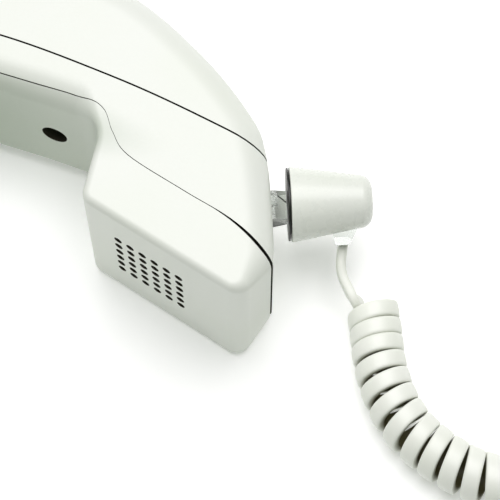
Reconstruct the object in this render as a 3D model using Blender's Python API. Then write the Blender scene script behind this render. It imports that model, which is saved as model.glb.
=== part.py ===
"""Corded telephone handset with a swivel cord detangler and a curly handset cord.

The handset lies on its side on the table, z = 0. +X runs along the handset from
the earpiece to the mouthpiece, +Y points out of its back, and +Z is its width.
All dimensions below are millimetres; the mesh helpers turn them into metres.
"""

import math

import bmesh
import bpy
from mathutils import Matrix, Vector

MM = 0.001                      # metres in a millimetre
GAP = 0.3                       # clearance between pieces that touch

# Handset body
HALF_WIDTH = 22.5               # half the width, which is also the height of the mid plane
WALL = 2.0                      # wall of the three mouldings
GRIP_Y = 0.8                    # inner face of the grip at the middle of the handset
GRIP_RADIUS = 900.0             # bow of the grip's inner face
GRIP_END = (41.6, -0.4)         # where the grip runs into the cup
CUP_FILLET = 9.0                # inside corner between grip and cup
CUP_CORNER = (52.6, -23.8)      # inner corner of the cup's face
CUP_CORNER_RADIUS = 3.6
CHIN_CORNER = (97.0, -37.1)     # outer corner of the cup's face
CHIN_RADIUS = 4.2
END_POINT = (101.5, -25.0)      # furthest point of the end
BACK_POINTS = ((0, 38.5), (24, 38.2), (46, 36.0), (68, 25.2), (84.5, 12.6), (91.4, 3.2),
               (99.2, -17.0), END_POINT)
SEAM_BACK_POINTS = ((0, 12.6), (24, 12.1), (46, 9.9), (64.6, 7.1), (91.4, 1.6), (110, -2.2))
SEAM_FRONT_POINTS = ((0, 3.6), (30, 2.9), (44, 2.3), (50.4, 0.4), (54.6, -5.0), (60.2, -9.9),
                     (75.8, -14.9), (89.0, -18.8), (101.0, -24.8), (110, -29.4))
RIM_BACK = 9.0                  # rounding of the back's long edges
RIM_END = 7.0
RIM_GRIP = 7.5
RIM_CUP = 2.0
BOX_MIDDLE_Y = 1.223            # middle of the handset's depth, above the origin

# Sound holes, 6 by 6, in each cup's face
HOLE_ROWS = 6
HOLE_PITCH = 3.6
HOLE_DIAMETER = 2.0
GRILLE_X = 71.0                 # middle of the hole pattern along the handset

# Screws through the grip
SCREW_X = 35.7
RECESS_DIAMETER = 7.5
RECESS_FLOOR_Y = 10.0
BOSS_SPLIT_Y = 14.0             # where the front and back bosses meet
SCREW_HEAD_DIAMETER = 6.0
SCREW_DIAMETER = 2.8
SCREW_END_Y = 26.0

# Detangler, turned about its own axis
SWIVEL_ORIGIN = (99.0, -1.15)   # middle of its base, on the axis
SWIVEL_ANGLE = 19.8             # degrees from +X towards +Y
BASE_DIAMETER = 19.3
TIP_DIAMETER = 12.5
TIP_ROUNDING = 3.2
SWIVEL_LENGTH = 20.7
LIP_THICKNESS = 0.4             # black lip of the fixed rotor, over the housing's base
LIP_INSET = 0.35                # the lip's radius below the base's
DISC_DEPTH = 2.0                # how far the rotor's disc reaches into the housing
SLIT = 0.5                      # open ring between the disc and the housing
HOUSING_WALL = 1.6
HUB_DIAMETER = 5.0
HUB_END = 6.0
RING_WIDTH = 0.5
RING_PITCH = 0.95
FIRST_RING = 2.4
SIDE_JACK_X = 13.3              # cord jack along the axis
SIDE_JACK_ROLL = 50.0           # degrees that the cord jack looks down from level
END_JACK_SHIFT = -1.0           # handset jack, sideways from the detangler's axis

# Modular plugs, four contacts
PLUG_LENGTH = 13.0
PLUG_HEIGHT = 6.6
PLUG_WIDTH = 7.65
CONTACT_PITCH = 1.27
LATCH_HINGE = (1.2, 4.1)        # from the nose, above the middle
PLUG_OUT = 10.2                 # end of the cord's plug from the detangler's axis

# Cord
STRAND = 3.2                    # round size of the flat strand
COIL_DIAMETER = 13.5
UPPER_TAIL = ((113.84, -3.11, 14.31), (114.1, -3.9, 13.3), (114.5, -6.3, 12.1),
              (115.2, -9.2, 11.3), (116.5, -11.6, 10.6), (118.5, -13.9, 10.0),
              (120.6, -16.0, 9.3))
COIL = ((125.3, -15.2), (127.7, -20.6), (131.9, -30.6), (136.7, -38.1), (142.2, -43.6),
        (148.1, -47.1), (155.3, -49.9), (162.8, -51.2), (171.0, -50.6), (180.0, -45.4),
        (187.0, -36.0), (191.0, -22.0), (192.5, -4.0), (192.5, 16.0), (191.5, 34.0),
        (194.5, 47.0), (204.0, 54.0), (214.5, 49.0), (219.0, 36.0), (220.0, 18.0),
        (220.0, -2.0), (219.5, -20.0))
LOWER_TAIL = ((219.45, -20.6, 6.6), (219.3, -24.0, 6.0), (218.0, -30.0, 4.4), (213.0, -37.0, 3.4),
              (206.0, -41.0, 3.4), (203.0, -47.0, 3.6), (203.0, -53.0, 3.8))
FAR_PLUG = (203.0, -53.4, 3.9)  # middle of the far plug's cord end
FAR_PLUG_ANGLE = 90.0


# ---------------------------------------------------------------- helpers

def clear_scene():
    """Remove every object that the file holds."""
    for old in list(bpy.data.objects):
        bpy.data.objects.remove(old)


def material(name, colour, roughness, metallic=0.0):
    """Return a Principled BSDF material."""
    made = bpy.data.materials.new(name)
    made.use_nodes = True
    shader = made.node_tree.nodes["Principled BSDF"]
    shader.inputs["Base Color"].default_value = (*colour, 1.0)
    shader.inputs["Roughness"].default_value = roughness
    shader.inputs["Metallic"].default_value = metallic
    return made


def mesh_of(name, points, faces):
    """Make a mesh from millimetre points, with its faces pointing out."""
    shape = bmesh.new()
    corners = [shape.verts.new(Vector(point) * MM) for point in points]
    for face in faces:
        shape.faces.new([corners[index] for index in face])
    bmesh.ops.recalc_face_normals(shape, faces=shape.faces)
    mesh = bpy.data.meshes.new(name)
    shape.to_mesh(mesh)
    shape.free()
    return mesh


def place(name, mesh, frame=None, looks=None, smooth=False):
    """Link a mesh as an object standing in a frame."""
    thing = bpy.data.objects.new(name, mesh)
    bpy.context.scene.collection.objects.link(thing)
    if frame is not None:
        thing.matrix_world = frame
    if looks is not None:
        mesh.materials.append(looks)
    if smooth:
        mesh.shade_smooth()
        mesh.set_sharp_from_angle(angle=math.radians(35))
    return thing


def frame_at(x, y, z=0.0, degrees=0.0):
    """Return a frame in the handset's mid plane, turned about +Z."""
    spot = Vector((x, y - BOX_MIDDLE_Y, z + HALF_WIDTH)) * MM
    return Matrix.Translation(spot) @ Matrix.Rotation(math.radians(degrees), 4, "Z")


def prism(outline, low, high):
    """Extrude a closed outline in XY from one height to another."""
    count = len(outline)
    points = [(x, y, low) for x, y in outline] + [(x, y, high) for x, y in outline]
    faces = [list(range(count)), list(range(count, 2 * count))]
    for i in range(count):
        j = (i + 1) % count
        faces.append([i, j, j + count, i + count])
    return mesh_of("prism", points, faces)


def block(x, y, z):
    """Make a box from three (low, high) pairs."""
    return prism([(x[0], y[0]), (x[1], y[0]), (x[1], y[1]), (x[0], y[1])], z[0], z[1])


def turned(profile, sides):
    """Turn a closed (along, radius) profile about the X axis.

    A radius of zero is a point on the axis; other points become rings.
    """
    points = []
    rings = []
    for along, radius in profile:
        if radius == 0:
            rings.append([len(points)] * sides)
            points.append((along, 0, 0))
            continue
        rings.append(list(range(len(points), len(points) + sides)))
        for side in range(sides):
            angle = 2 * math.pi * side / sides
            points.append((along, radius * math.cos(angle), radius * math.sin(angle)))
    faces = []
    for one, two in zip(rings, rings[1:] + rings[:1]):
        for i in range(sides):
            j = (i + 1) % sides
            corners = []
            for index in (one[i], one[j], two[j], two[i]):
                if index not in corners:
                    corners.append(index)
            if len(corners) > 2:
                faces.append(corners)
    return mesh_of("turned", points, faces)


def disc(along, radius, sides=24):
    """Make a plain cylinder along X from one (low, high) pair."""
    low, high = along
    return turned([(low, 0), (low, radius), (high, radius), (high, 0)], sides)


def tube(along, inner, outer, sides=24):
    """Make a ring along X."""
    low, high = along
    return turned([(low, inner), (low, outer), (high, outer), (high, inner)], sides)


def moved(mesh, frame):
    """Move a mesh's points into a frame."""
    mesh.transform(frame)
    return mesh


def joined(meshes):
    """Put several meshes into one, for one cut."""
    shape = bmesh.new()
    for mesh in meshes:
        shape.from_mesh(mesh)
    whole = bpy.data.meshes.new("joined")
    shape.to_mesh(whole)
    shape.free()
    return whole


def combined(mesh, tool, operation):
    """Return the Boolean of two meshes as a new mesh."""
    base = place("base", mesh)
    other = place("tool", tool)
    modifier = base.modifiers.new("cut", "BOOLEAN")
    modifier.operation = operation
    modifier.object = other
    depsgraph = bpy.context.evaluated_depsgraph_get()
    result = bpy.data.meshes.new_from_object(base.evaluated_get(depsgraph))
    bpy.data.objects.remove(base)
    bpy.data.objects.remove(other)
    return result


def cut(mesh, *tools):
    """Take tools away from a mesh."""
    for tool in tools:
        mesh = combined(mesh, tool, "DIFFERENCE")
    return mesh


def added(mesh, *tools):
    """Unite tools with a mesh."""
    for tool in tools:
        mesh = combined(mesh, tool, "UNION")
    return mesh


def curve_through(points, per_span):
    """Return a smooth Catmull-Rom curve through points."""
    spots = [Vector(point) for point in points]
    ends = [spots[0] * 2 - spots[1]] + spots + [spots[-1] * 2 - spots[-2]]
    result = []
    for a, b, c, d in zip(ends, ends[1:], ends[2:], ends[3:]):
        for step in range(per_span):
            t = step / per_span
            result.append((b * 2 + (c - a) * t + (a * 2 - b * 5 + c * 4 - d) * t ** 2
                           + (b * 3 - a - c * 3 + d) * t ** 3) / 2)
    result.append(spots[-1])
    return result


def resampled(points, count):
    """Return points at equal distances along a polyline."""
    lengths = [0.0]
    for one, two in zip(points, points[1:]):
        lengths.append(lengths[-1] + (two - one).length)
    result = []
    span = 0
    for step in range(count):
        target = lengths[-1] * step / (count - 1)
        while span < len(points) - 2 and lengths[span + 1] < target:
            span += 1
        part = (target - lengths[span]) / (lengths[span + 1] - lengths[span])
        result.append(points[span].lerp(points[span + 1], part))
    return result


def corner_arc(before, corner, after, radius, steps):
    """Return the points of a fillet at a corner."""
    corner = Vector(corner)
    one = (Vector(before) - corner).normalized()
    two = (Vector(after) - corner).normalized()
    half = one.angle(two) / 2
    centre = corner + (one + two).normalized() * radius / math.sin(half)
    reach = radius / math.tan(half)
    start = corner + one * reach - centre
    turn = start.angle_signed(corner + two * reach - centre)
    return [centre + Matrix.Rotation(-turn * step / steps, 2) @ start
            for step in range(steps + 1)]


# ---------------------------------------------------------------- handset shells

def half_outline():
    """Return the mouthpiece half of the side outline as (point, rim radius) pairs.

    It runs from the middle of the grip's inner face to the middle of the back.
    """
    rows = []
    for x in (10.0, 22.0, 33.0):
        rows.append((Vector((x, GRIP_Y - x * x / (2 * GRIP_RADIUS))), RIM_GRIP))
    bend = (50.8, GRIP_END[1])
    for spot in corner_arc(GRIP_END, bend, CUP_CORNER, CUP_FILLET, 4):
        blend = min(1.0, max(0.0, (spot.x - GRIP_END[0]) / 8.0))
        rows.append((spot, RIM_GRIP + (RIM_CUP - RIM_GRIP) * blend))
    for spot in corner_arc(bend, CUP_CORNER, CHIN_CORNER, CUP_CORNER_RADIUS, 3):
        rows.append((spot, RIM_CUP))
    rows.append((Vector(CUP_CORNER).lerp(Vector(CHIN_CORNER), 0.6), RIM_CUP))
    for spot in corner_arc(CUP_CORNER, CHIN_CORNER, END_POINT, CHIN_RADIUS, 3):
        rows.append((spot, RIM_CUP + 1.0))
    back = resampled(curve_through(BACK_POINTS, 8), 15)
    back.reverse()
    for spot in back[:-1]:
        blend = min(1.0, max(0.0, (spot.y - END_POINT[1]) / 40.0))
        rows.append((spot, RIM_END + (RIM_BACK - RIM_END) * blend))
    return rows


def body_solid(inset, rim_steps):
    """Make the handset's outer form, or the hollow inside it at a given inset."""
    half = half_outline()
    centre_front = (Vector((0.0, GRIP_Y)), RIM_GRIP)
    centre_back = (Vector((0.0, BACK_POINTS[0][1])), RIM_BACK)
    rows = [centre_front] + half + [centre_back]
    rows += [(Vector((-spot.x, spot.y)), rim) for spot, rim in reversed(half)]
    count = len(rows)
    normals = []
    for i in range(count):
        ahead = rows[(i + 1) % count][0] - rows[i][0]
        behind = rows[i][0] - rows[i - 1][0]
        along = ahead.normalized() + behind.normalized()
        normals.append(Vector((along.y, -along.x)).normalized())
    levels = []
    for step in range(rim_steps + 1):
        angle = math.pi / 2 * (1 - step / rim_steps)
        levels.append((math.sin(angle), 1 - math.cos(angle)))
    points = []
    for side in (-1, 1):
        for rise, inward in (levels if side < 0 else reversed(levels)):
            for (spot, rim), normal in zip(rows, normals):
                radius = max(rim - inset, 0.6)
                flat = spot - normal * (inset + radius * inward)
                height = HALF_WIDTH - inset - radius * (1 - rise)
                points.append((flat.x, flat.y, side * height))
    faces = [list(range(count)), list(range(len(points) - count, len(points)))]
    for ring in range(len(points) // count - 1):
        for i in range(count):
            j = (i + 1) % count
            low = ring * count
            faces.append([low + i, low + j, low + j + count, low + i + count])
    return mesh_of("body", points, faces)


def seam(points, shift):
    """Return a seam line from the earpiece end to the mouthpiece end."""
    half = curve_through(points, 3)
    line = [Vector((-spot.x, spot.y)) for spot in reversed(half[1:])] + half
    return [(spot.x, spot.y + shift) for spot in line]


def shell(body, low_line, high_line):
    """Keep the stretch of the hollow body between two seam lines."""
    outline = list(low_line) + list(reversed(high_line))
    return combined(body, prism(outline, -HALF_WIDTH - 5, HALF_WIDTH + 5), "INTERSECT")


def grille_frame(side, depth=0.0):
    """Return a cup's face frame: +X points into the handset, from the outer face."""
    run = Vector(CHIN_CORNER) - Vector(CUP_CORNER)
    part = (GRILLE_X - CUP_CORNER[0]) / run.x
    spot = Vector(CUP_CORNER) + run * part
    inward = Vector((-run.y, run.x)).normalized()
    spot += inward * depth
    angle = math.degrees(math.atan2(inward.y, inward.x))
    if side < 0:
        return frame_at(-spot.x, spot.y, 0, 180 - angle)
    return frame_at(spot.x, spot.y, 0, angle)


def upright(x, y, z=0.0):
    """Return a frame whose +X points out of the back, for a turned post."""
    return frame_at(x, y, z, 90)


def local(frame):
    """Return a frame in the mid plane's own coordinates, for cutting a shell."""
    return frame_at(0, 0).inverted() @ frame


def sound_holes():
    """Make the cutters of both cups' sound holes as one mesh."""
    holes = []
    middle = (HOLE_ROWS - 1) / 2
    for side in (-1, 1):
        for row in range(HOLE_ROWS):
            for column in range(HOLE_ROWS):
                pin = disc((-2, WALL + 2), HOLE_DIAMETER / 2, 8)
                offset = Matrix.Translation(Vector((0, (row - middle) * HOLE_PITCH,
                                                    (column - middle) * HOLE_PITCH)) * MM)
                holes.append(moved(pin, local(grille_frame(side)) @ offset))
    return joined(holes)


def swivel_frame(along=0.0):
    """Return the detangler's frame: +X is its axis, away from the handset."""
    angle = math.radians(SWIVEL_ANGLE)
    return frame_at(SWIVEL_ORIGIN[0] + along * math.cos(angle),
                    SWIVEL_ORIGIN[1] + along * math.sin(angle), 0, SWIVEL_ANGLE)


def jack_frame(along=0.0):
    """Return the handset jack's frame: +X leaves the handset and +Y is the latch's side."""
    aside = Matrix.Translation(Vector((0, END_JACK_SHIFT, 0)) * MM)
    return swivel_frame(along) @ aside @ Matrix.Rotation(math.pi / 2, 4, "X")


def side_frame():
    """Return the cord jack's frame: +X leaves the detangler and -Y is the latch's side."""
    roll = Matrix.Rotation(math.radians(SIDE_JACK_ROLL), 4, "X")
    return swivel_frame(SIDE_JACK_X) @ roll @ Matrix.Rotation(-math.pi / 2, 4, "Z")


def posts(low, high, radius, sides=16):
    """Return upright cylinders on both screw axes."""
    return [moved(disc((low, high), radius, sides), local(upright(side * SCREW_X, 0)))
            for side in (-1, 1)]


def make_shells(white):
    """Make the front cover, the middle frame and the back cover."""
    hollow = cut(body_solid(0, 3), body_solid(WALL, 2))
    far = [(-130, -60), (130, -60)]
    behind = [(-130, 60), (130, 60)]
    half_gap = GAP / 2
    front = shell(hollow.copy(), far, seam(SEAM_FRONT_POINTS, -half_gap))
    middle = shell(hollow.copy(), seam(SEAM_FRONT_POINTS, half_gap),
                   seam(SEAM_BACK_POINTS, -half_gap))
    back = shell(hollow, seam(SEAM_BACK_POINTS, half_gap), behind)
    boss = RECESS_DIAMETER / 2 + 1.5
    front = added(front, *posts(GRIP_Y + WALL / 4, BOSS_SPLIT_Y, boss))
    front = cut(front, *posts(-5, RECESS_FLOOR_Y, RECESS_DIAMETER / 2))
    front = cut(front, *posts(-5, BOSS_SPLIT_Y + 5, SCREW_DIAMETER / 2 + GAP, 12))
    front = cut(front, sound_holes())
    boss = SCREW_DIAMETER / 2 + 2.3
    back = added(back, *posts(BOSS_SPLIT_Y + GAP, BACK_POINTS[1][1] - WALL, boss))
    back = cut(back, *posts(BOSS_SPLIT_Y - 5, SCREW_END_Y + 2, SCREW_DIAMETER / 2 + GAP, 12))
    mouth = block((-12, 2), (-PLUG_HEIGHT / 2 - GAP, 6.8), (-4.1, 4.1))
    middle = cut(middle, moved(mouth, local(jack_frame())))
    for name, mesh in (("front_cover", front), ("middle_frame", middle), ("back_cover", back)):
        place(name, mesh, frame_at(0, 0), white, smooth=True)


def make_screws(steel):
    """Make the two screws that clamp the shells together."""
    head = SCREW_HEAD_DIAMETER / 2
    top = RECESS_FLOOR_Y - GAP
    shank = SCREW_DIAMETER / 2
    profile = [(top - 2.2, 0), (top - 2.2, head - 0.7), (top - 1.4, head), (top, head),
               (top, shank), (SCREW_END_Y - 1.5, shank), (SCREW_END_Y, 0)]
    for number, side in enumerate((-1, 1), 1):
        screw = turned(profile, 12)
        for y, z in ((1.8, 0.4), (0.4, 1.8)):
            screw = cut(screw, block((top - 3, top - 1), (-y, y), (-z, z)))
        place(f"handset_screw_{number}", screw, upright(side * SCREW_X, 0), steel, smooth=True)


# ---------------------------------------------------------------- inside the handset

def make_microphone(rubber, steel, felt):
    """Make the microphone capsule, its boot and the dust felt behind the grille."""
    face = grille_frame(1)
    place("microphone_felt", disc((WALL + GAP, WALL + 1.1), 13.4), face, felt)
    place("microphone_boot", tube((4.0, 10.6), 5.2, 7.0, 20), face, rubber, smooth=True)
    place("microphone_capsule", disc((4.3, 10.6), 4.85, 20), face, steel, smooth=True)


def make_receiver(plastic, steel, felt, foam):
    """Make the receiver capsule with its magnet, gasket and dust felt."""
    face = grille_frame(-1)
    place("receiver_felt", disc((WALL + GAP, WALL + 1.1), 13.4), face, felt)
    place("receiver_gasket", tube((3.8, 5.0), 11.5, 14.6, 24), face, foam)
    frame = turned([(5.3, 0), (5.3, 13.6), (6.0, 14.6), (9.0, 14.6), (11.0, 10.4), (11.0, 0)], 24)
    place("receiver_capsule", frame, face, plastic, smooth=True)
    place("receiver_magnet", disc((11.3, 15.6), 7.6), face, steel, smooth=True)


def make_weight(steel):
    """Make the steel weight that gives the grip its heft."""
    slab = block((-22, 22), (22.0, 35.0), (-9, 9))
    place("steel_weight", slab, frame_at(0, 0), steel)


def make_handset_jack(plastic, gold):
    """Make the jack behind the opening in the handset's end, and its spring contacts."""
    back = -21.5
    mouth = -8.0
    body = block((back, mouth), (-5.6, 8.2), (-6.0, 6.0))
    cavity = block((back + 1.8, mouth + 2), (-PLUG_HEIGHT / 2 - GAP, 6.8), (-4.1, 4.1))
    slots = [block((back - 1, -11.0), (-4.6, -3.0), (z - 0.45, z + 0.45))
             for z in contact_places()]
    place("handset_jack", cut(body, cavity, *slots), jack_frame(), plastic)
    bar = block((back - 2.2, back - 0.3), (-5.4, 2.0), (-5.0, 5.0))
    springs = [block((back - 1.0, -12.0), (-4.4, -3.9), (z - 0.15, z + 0.15))
               for z in contact_places()]
    place("handset_jack_contacts", added(bar, *springs), jack_frame(), gold)


def lead(name, points, looks):
    """Make a pair of leads as one soft tube through points in the mid plane's frame."""
    curve = bpy.data.curves.new(name, "CURVE")
    curve.dimensions = "3D"
    curve.bevel_depth = 0.8 * MM
    curve.bevel_resolution = 1
    curve.use_fill_caps = True
    route = curve_through(points, 4)
    spline = curve.splines.new("POLY")
    spline.points.add(len(route) - 1)
    for point, spot in zip(spline.points, route):
        point.co = (*(spot * MM), 1.0)
    curve.materials.append(looks)
    thing = bpy.data.objects.new(name, curve)
    bpy.context.scene.collection.objects.link(thing)
    thing.matrix_world = frame_at(0, 0)


def make_leads(red):
    """Make the leads from the microphone and the receiver to the jack."""
    lead("microphone_leads", ((74.1, -18.2, 2.0), (72.4, -16.8, 3.0), (72.4, -14.6, 2.0),
                              (75.0, -12.6, 0.0)), red)
    lead("receiver_leads", ((-76.0, -13.2, 3.0), (-70.0, -4.0, 9.0), (-56.0, 8.0, 12.5),
                            (-30.0, 14.5, 13.0), (0.0, 15.5, 13.0), (30.0, 14.5, 13.0),
                            (54.0, 7.0, 10.0), (66.0, -1.5, 5.0), (73.8, -7.6, -2.0)), red)


# ---------------------------------------------------------------- modular plugs

def contact_places():
    """Return where the four contacts stand across a plug."""
    return [(index - 1.5) * CONTACT_PITCH for index in range(4)]


def make_plug(name, frame, length, clear, gold):
    """Make a modular plug. Its nose is at the frame's origin and +X is its cord end."""
    low = -PLUG_HEIGHT / 2
    side = PLUG_WIDTH / 2
    outline = [(0, low + 0.8), (0.8, low), (length - 4.2, low), (length, low + 1.9),
               (length, -low - 1.2), (length - 3.0, -low - 0.5), (3.0, -low - 0.5),
               (2.4, -low), (0, -low)]
    body = prism(outline, -side, side)
    slots = [block((-1, 3.4), (low - 1, low + 2.6), (z - 0.5, z + 0.5))
             for z in contact_places()]
    window = block((5.4, length - 5.0), (low - 1, low + 1.4), (-2.6, 2.6))
    place(name, cut(body, *slots, window), frame, clear)
    for number, z in enumerate(contact_places(), 1):
        blade = block((0.5, 2.9), (low + 0.3, low + 2.3), (z - 0.19, z + 0.19))
        place(f"{name}_contact_{number}", blade, frame, gold)
    x, y = LATCH_HINGE
    lever = prism([(-0.5, -0.45), (0.6, -0.45), (5.0, 0.25), (length - 3.6, 1.0),
                   (length - 3.6, 1.8), (4.4, 1.2), (4.4, 1.9), (3.2, 1.9), (0.2, 0.4),
                   (-0.5, 0.4)], -1.6, 1.6)
    place(f"{name}_latch", lever, frame @ Matrix.Translation(Vector((x, y, 0)) * MM), clear)


# ---------------------------------------------------------------- detangler

def make_rotor(black, gold):
    """Make the detangler's fixed side: lipped disc, hub and slip rings."""
    hub = HUB_DIAMETER / 2
    lip = BASE_DIAMETER / 2 - LIP_INSET
    disc_edge = BASE_DIAMETER / 2 - HOUSING_WALL - SLIT
    front = -GAP - LIP_THICKNESS
    profile = [(front, 0), (front, lip - 0.2), (front + 0.2, lip), (-GAP, lip),
               (-GAP, disc_edge), (DISC_DEPTH, disc_edge), (DISC_DEPTH, hub), (HUB_END, hub),
               (HUB_END, 0)]
    place("detangler_rotor", turned(profile, 32), swivel_frame(), black, smooth=True)
    for number in range(4):
        low = FIRST_RING + number * RING_PITCH
        ring = tube((low, low + RING_WIDTH), hub + GAP, hub + 0.9, 20)
        place(f"slip_ring_{number + 1}", ring, swivel_frame(), gold)


def housing_radius(along):
    """Return the detangler housing's outer radius at a distance from its base."""
    start = BASE_DIAMETER / 2
    end = TIP_DIAMETER / 2
    return start + (end - start) * along / SWIVEL_LENGTH


def make_housing(white):
    """Make the turning housing: a hollow cone with a rounded tip and a side opening."""
    rounding_start = SWIVEL_LENGTH - TIP_ROUNDING
    outer = [(0, housing_radius(0))]
    radius = housing_radius(rounding_start)
    for step in range(5):
        angle = math.pi / 2 * step / 4
        outer.append((rounding_start + TIP_ROUNDING * math.sin(angle),
                      radius - TIP_ROUNDING * (1 - math.cos(angle))))
    end = SWIVEL_LENGTH - HOUSING_WALL
    inner = [(end, 0), (end, radius - TIP_ROUNDING), (end - 1.6, radius - HOUSING_WALL),
             (0, housing_radius(0) - HOUSING_WALL)]
    shape = turned(outer + [(SWIVEL_LENGTH, 0)] + inner, 40)
    opening = block((0, 12), (-6.8, 3.6), (-4.1, 4.1))
    into_housing = swivel_frame().inverted() @ side_frame()
    shape = cut(shape, moved(opening, into_housing))
    place("detangler_housing", shape, swivel_frame(), white, smooth=True)


def make_side_jack(plastic, gold):
    """Make the insert behind the cord's plug, its springs and the slip ring brushes."""
    rear = block((-4.5, -3.1), (-4.6, 2.9), (-2.7, 2.7))
    place("detangler_jack_insert", rear, side_frame(), plastic)
    springs = [block((-4.0, 1.4), (3.4, 3.8), (z - 0.15, z + 0.15)) for z in contact_places()]
    bar = block((-4.0, -3.1), (3.2, 3.8), (-2.7, 2.7))
    place("detangler_jack_contacts", added(bar, *springs), side_frame(), gold)
    for number in range(4):
        ring = FIRST_RING + RING_WIDTH / 2 + number * RING_PITCH
        wire = block((ring - 0.15, ring + 0.15), (3.7, 4.0), (-4.5, 4.5))
        place(f"slip_ring_brush_{number + 1}", wire, swivel_frame(), gold)


# ---------------------------------------------------------------- cord

def table_spot(point):
    """Return a point in the handset's mid plane frame from one above the table."""
    return Vector((point[0], point[1], point[2] - HALF_WIDTH))


def cord_tube(name, points, diameter, count, looks, resolution):
    """Make a plain tube along a smooth curve through points."""
    curve = bpy.data.curves.new(name, "CURVE")
    curve.dimensions = "3D"
    curve.bevel_depth = diameter / 2 * MM
    curve.bevel_resolution = resolution
    curve.use_fill_caps = True
    route = resampled(curve_through(points, 12), count)
    spline = curve.splines.new("POLY")
    spline.points.add(count - 1)
    for point, spot in zip(spline.points, route):
        point.co = (*(spot * MM), 1.0)
    curve.materials.append(looks)
    thing = bpy.data.objects.new(name, curve)
    bpy.context.scene.collection.objects.link(thing)
    thing.matrix_world = frame_at(0, 0)


def make_cord(white, clear, gold):
    """Make the cord: near plug, upper tail, curly length, lower tail, far plug."""
    turn_over = Matrix.Rotation(math.pi, 4, "X")
    nose = Matrix.Translation(Vector((PLUG_OUT - PLUG_LENGTH, 0, 0)) * MM)
    make_plug("cord_plug", side_frame() @ nose @ turn_over, PLUG_LENGTH, clear, gold)
    upper = [table_spot(point) for point in UPPER_TAIL]
    cord_tube("upper_cord", upper, STRAND, 12, white, 2)
    height = COIL_DIAMETER / 2
    coil = [table_spot((x, y, height)) for x, y in COIL]
    cord_tube("curly_cord", coil, COIL_DIAMETER, 34, white, 3)
    lower = [table_spot(point) for point in LOWER_TAIL]
    cord_tube("lower_cord", lower, STRAND, 12, white, 2)
    x, y, z = FAR_PLUG
    back = Matrix.Translation(Vector((-PLUG_LENGTH, 0, 0)) * MM)
    make_plug("wall_plug", frame_at(x, y, z - HALF_WIDTH, FAR_PLUG_ANGLE) @ back,
              PLUG_LENGTH, clear, gold)


def main():
    """Build every sub-part."""
    clear_scene()
    white = material("white_abs", (0.86, 0.88, 0.85), 0.42)
    cord_white = material("white_cord_pvc", (0.80, 0.82, 0.78), 0.5)
    clear = material("clear_polycarbonate", (0.75, 0.78, 0.74), 0.12)
    gold = material("gold_plate", (0.83, 0.62, 0.25), 0.25, 1.0)
    steel = material("zinc_plated_steel", (0.55, 0.56, 0.57), 0.35, 1.0)
    rubber = material("black_rubber", (0.03, 0.03, 0.03), 0.8)
    felt = material("black_felt", (0.04, 0.05, 0.04), 0.95)
    foam = material("grey_foam", (0.2, 0.2, 0.2), 0.95)
    plastic = material("grey_nylon", (0.35, 0.37, 0.36), 0.5)
    black = material("black_acetal", (0.03, 0.03, 0.03), 0.4)
    red = material("red_lead_pvc", (0.5, 0.05, 0.04), 0.5)
    make_shells(white)
    make_screws(steel)
    make_microphone(rubber, steel, felt)
    make_receiver(plastic, steel, felt, foam)
    make_weight(steel)
    make_handset_jack(plastic, gold)
    make_leads(red)
    plug_start = -LIP_THICKNESS - 2 * GAP - PLUG_LENGTH
    make_plug("detangler_plug", jack_frame(plug_start), PLUG_LENGTH, clear, gold)
    make_rotor(black, gold)
    make_housing(white)
    make_side_jack(plastic, gold)
    make_cord(cord_white, clear, gold)


main()
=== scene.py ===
"""Looks of a corded telephone handset with a swivel cord detangler and a curly cord.

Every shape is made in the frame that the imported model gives. Lengths are millimetres
in this file and metres in the scene.
"""

import math

import bmesh
import bpy
from mathutils import Matrix, Vector


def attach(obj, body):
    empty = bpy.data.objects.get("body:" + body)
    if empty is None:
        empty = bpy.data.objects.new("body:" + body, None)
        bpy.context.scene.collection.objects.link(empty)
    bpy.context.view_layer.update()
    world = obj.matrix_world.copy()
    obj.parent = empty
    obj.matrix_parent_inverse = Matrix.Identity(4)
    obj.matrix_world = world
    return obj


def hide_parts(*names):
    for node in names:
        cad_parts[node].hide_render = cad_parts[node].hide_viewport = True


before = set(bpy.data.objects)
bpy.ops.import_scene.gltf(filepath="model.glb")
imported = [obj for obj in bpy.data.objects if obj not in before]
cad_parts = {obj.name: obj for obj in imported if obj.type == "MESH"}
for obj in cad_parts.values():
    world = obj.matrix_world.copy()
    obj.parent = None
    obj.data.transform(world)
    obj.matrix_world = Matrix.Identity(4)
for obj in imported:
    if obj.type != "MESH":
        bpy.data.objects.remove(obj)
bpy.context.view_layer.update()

bl_info = {
    "name": "Corded Handset",
    "version": (1, 0, 0),
    "blender": (4, 5, 0),
    "location": "View3D > Sidebar > Handset",
    "description": "Makes a telephone handset, its cord detangler and its curly cord",
    "category": "Add Mesh",
}

MM = 0.001
MIDDLE_Z = 22.5                 # mid plane of the handset, which lies on its side
ORIGIN_Y = 1.223                # the outline's own zero lies this far in front of the frame's

# Side outline of the handset, from its middle to the mouthpiece end
GRIP_Y = 0.8
GRIP_RADIUS = 900.0
GRIP_END = (41.6, -0.4)
CUP_FILLET = 9.0
CUP_CORNER = (52.6, -23.8)
CUP_CORNER_RADIUS = 3.6
CHIN_CORNER = (97.0, -37.1)
CHIN_RADIUS = 4.2
END_POINT = (101.5, -25.0)
BACK_POINTS = ((0, 38.5), (24, 38.2), (46, 36.0), (68, 25.2), (84.5, 12.6), (91.4, 3.2),
               (99.2, -17.0), END_POINT)
SEAM_BACK_POINTS = ((0, 12.6), (24, 12.1), (46, 9.9), (64.6, 7.1), (91.4, 1.6), (110, -2.2))
SEAM_FRONT_POINTS = ((0, 3.6), (30, 2.9), (44, 2.3), (50.4, 0.4), (54.6, -5.0), (60.2, -9.9),
                     (75.8, -14.9), (89.0, -18.8), (101.0, -24.8), (110, -29.4))
RIM_BACK = 9.0                  # radii of the rounding between the outline and the sides
RIM_END = 7.0
RIM_GRIP = 7.5
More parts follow.
